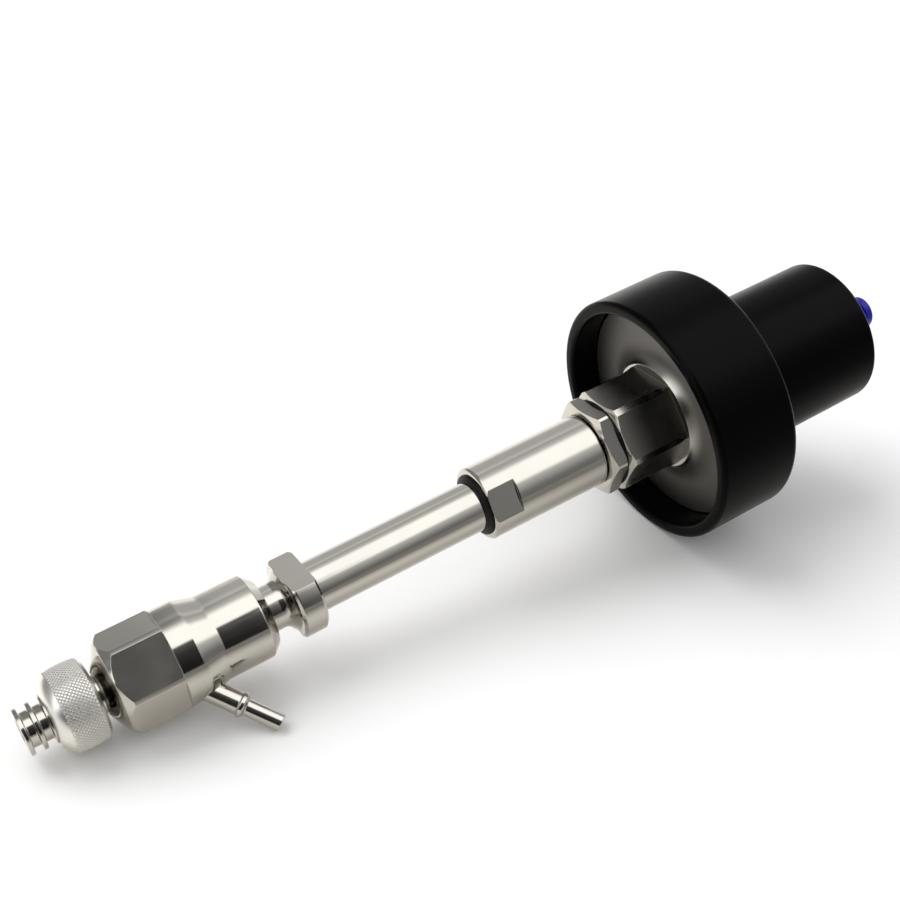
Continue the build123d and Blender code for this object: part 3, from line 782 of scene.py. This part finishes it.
def make_room_light(scene):
    """A light tent: even white light, in which the metal mirrors the room."""
    world = bpy.data.worlds.new("light_tent")
    world.use_nodes = True
    scene.world = world
    tree = world.node_tree
    tree.nodes.clear()
    direction = add(tree, "ShaderNodeTexCoord").outputs["Generated"]
    split = add(tree, "ShaderNodeSeparateXYZ", {"Vector": direction})
    angle = add(tree, "ShaderNodeMath", {0: split.outputs["Z"], 1: split.outputs["Y"]}, operation="ARCTAN2")
    turns = add(tree, "ShaderNodeMath", {0: angle.outputs["Value"], 1: 2 * math.pi}, operation="DIVIDE")
    share = add(
        tree, "ShaderNodeMath", {0: turns.outputs["Value"], 1: 1.0, 2: 0.0}, operation="WRAP"
    ).outputs["Value"]
    ramp = add(tree, "ShaderNodeValToRGB", {"Fac": share})
    brightest = max(light for degrees, light in ROOM)
    fill_ramp(ramp, [(degrees / 360, light / brightest) for degrees, light in ROOM])
    strength = brightest
    for (side_start, side_end), (edge_start, edge_end), brightness in DIM_PARTS:
        reach = add(
            tree, "ShaderNodeMapRange",
            {
                "Value": split.outputs["X"], "From Min": side_start, "From Max": side_end,
                "To Min": 1, "To Max": brightness,
            },
            interpolation_type="SMOOTHSTEP",
        ).outputs["Result"]
        dimming = add(
            tree, "ShaderNodeMapRange",
            {
                "Value": share, "From Min": edge_start / 360, "From Max": edge_end / 360,
                "To Min": 1, "To Max": reach,
            },
            interpolation_type="SMOOTHSTEP",
        ).outputs["Result"]
        strength = add(
            tree, "ShaderNodeMath", {0: strength, 1: dimming}, operation="MULTIPLY"
        ).outputs["Value"]
    mirrored = add(tree, "ShaderNodeBackground", {"Color": ramp.outputs["Color"], "Strength": strength})
    rays = add(tree, "ShaderNodeLightPath")
    # the backdrop is white to the eye, and fills the shadows with a little less light
    fill = add(tree, "ShaderNodeMapRange", {"Value": rays.outputs["Is Camera Ray"], "To Min": FILL_LIGHT})
    even = add(tree, "ShaderNodeBackground", {"Color": (1, 1, 1, 1), "Strength": fill.outputs["Result"]})
    both = add(
        tree, "ShaderNodeMixShader",
        {0: rays.outputs["Is Glossy Ray"], 1: even.outputs[0], 2: mirrored.outputs[0]},
    )
    add(tree, "ShaderNodeOutputWorld", {"Surface": both.outputs["Shader"]})


def make_floor_material(scene):
    """A matt paper sweep: white, with a hardly visible grain, and with painted shade and brightness where the
    metal mirrors it.
    """
    material, tree, shader, place = start_material("matt_paper_sweep")
    grain = add(tree, "ShaderNodeTexNoise", {"Vector": place, "Scale": 1 / PAPER_GRAIN}).outputs["Fac"]
    tone = scene.valve_colours.floor
    plain = add(
        tree, "ShaderNodeMix", {FACTOR: grain, FIRST: shaded(tone), SECOND: shaded(tone, PAPER_SHADE)},
        data_type="RGBA",
    ).outputs[MIXED]
    side = add(tree, "ShaderNodeSeparateXYZ", {"Vector": place}).outputs["Y"]
    first, last = FLOOR_PAINTED_REFLECTION[0][0], FLOOR_PAINTED_REFLECTION[-1][0]
    brightest = max(value for distance, value in FLOOR_PAINTED_REFLECTION)
    share = add(tree, "ShaderNodeMapRange", {"Value": side, "From Min": first, "From Max": last})
    ramp = add(tree, "ShaderNodeValToRGB", {"Fac": share.outputs["Result"]})
    points = [((y - first) / (last - first), value / brightest) for y, value in FLOOR_PAINTED_REFLECTION]
    fill_ramp(ramp, points, FLOOR_WARMTH)
    # a ramp's colours end at 1, so they are brought back to their own brightness; input 3 is the scale
    mirrored = add(
        tree, "ShaderNodeVectorMath", {0: ramp.outputs["Color"], 3: brightest}, operation="SCALE"
    ).outputs["Vector"]
    # only the rays that the metal mirrors see the painted shade and brightness; the camera sees the plain
    # white paper
    gloss = add(tree, "ShaderNodeLightPath").outputs["Is Glossy Ray"]
    skin = add(
        tree, "ShaderNodeMix", {FACTOR: gloss, FIRST: plain, SECOND: mirrored}, data_type="RGBA"
    ).outputs[MIXED]
    tree.links.new(skin, shader.inputs["Base Color"])
    shader.inputs["Roughness"].default_value = 0.9
    shader.inputs["Specular IOR Level"].default_value = 0.1
    return material


def make_key_light(scene):
    """A broad soft light from behind and above. The metal doesn't mirror it, as the tent stands before it."""
    lamp = bpy.data.lights.new("key_light", "SUN")
    lamp.energy = KEY_LIGHT
    lamp.angle = KEY_SPREAD
    light = bpy.data.objects.new("key_light", lamp)
    light.rotation_euler = KEY_DIRECTION.to_track_quat("Z", "Y").to_euler()
    light.visible_glossy = False
    scene.collection.objects.link(light)


class VALVEHEAD_OT_stage(bpy.types.Operator):
    """Set up the pale floor, the soft studio light and the camera"""

    bl_idname = "valvehead.stage"
    bl_label = "Stage"

    def execute(self, context):
        scene = context.scene
        up = floor_normal(context)
        lowest = min(up.dot(vertex.co) for node in nodes.values() for vertex in node.data.vertices)
        tilt = scene.valve_sizes.floor_tilt
        bpy.ops.object.select_all(action="DESELECT")
        bpy.ops.mesh.primitive_plane_add(size=FLOOR_SIZE, location=up * lowest, rotation=(0, tilt, 0))
        floor = context.object
        floor.name = "floor"
        bpy.ops.object.transform_apply(location=True, rotation=True, scale=True)
        give_finish(floor, make_floor_material(scene))
        make_room_light(scene)
        make_key_light(scene)
        camera = bpy.data.objects.new("camera", bpy.data.cameras.new("camera"))
        camera.data.lens = CAMERA_LENS
        camera.data.sensor_width = SENSOR_WIDTH
        camera.data.clip_start = CAMERA_NEAR
        back = -CAMERA_VIEW.normalized()
        right = up.cross(back).normalized()
        turn = Matrix((right, back.cross(right), back)).transposed().to_4x4()
        camera.matrix_world = Matrix.Translation(CAMERA_PLACE) @ turn
        scene.collection.objects.link(camera)
        scene.camera = camera
        scene.view_settings.view_transform = "Standard"
        return {"FINISHED"}


class VALVEHEAD_PT_panel(bpy.types.Panel):
    """The pieces and the stage of the valve head"""

    bl_idname = "VALVEHEAD_PT_panel"
    bl_label = "Valve head"
    bl_space_type = "VIEW_3D"
    bl_region_type = "UI"
    bl_category = "Valve head"

    def draw(self, context):
        """Lists the sizes, the colours and the operators."""
        layout = self.layout
        for group in (context.scene.valve_sizes, context.scene.valve_colours):
            for name in group.bl_rna.properties.keys():
                if name not in ("rna_type", "name"):
                    layout.prop(group, name)
        for operator in STEPS:
            layout.operator(operator.bl_idname)


STEPS = (VALVEHEAD_OT_finishes, VALVEHEAD_OT_union_nut, VALVEHEAD_OT_return_spring, VALVEHEAD_OT_stage)
CLASSES = (ValveHeadSizes, ValveHeadColours, *STEPS, VALVEHEAD_PT_panel)


def register():
    """Makes the classes and the scene's settings known."""
    for made in CLASSES:
        bpy.utils.register_class(made)
    bpy.types.Scene.valve_sizes = bpy.props.PointerProperty(type=ValveHeadSizes)
    bpy.types.Scene.valve_colours = bpy.props.PointerProperty(type=ValveHeadColours)


def unregister():
    """Takes back what register did."""
    del bpy.types.Scene.valve_colours
    del bpy.types.Scene.valve_sizes
    for made in reversed(CLASSES):
        bpy.utils.unregister_class(made)


def main():
    """Builds the looks of the valve head."""
    register()
    bpy.ops.valvehead.finishes()
    bpy.ops.valvehead.union_nut()
    bpy.ops.valvehead.return_spring()
    bpy.ops.valvehead.stage()


if __name__ == "__main__":
    main()
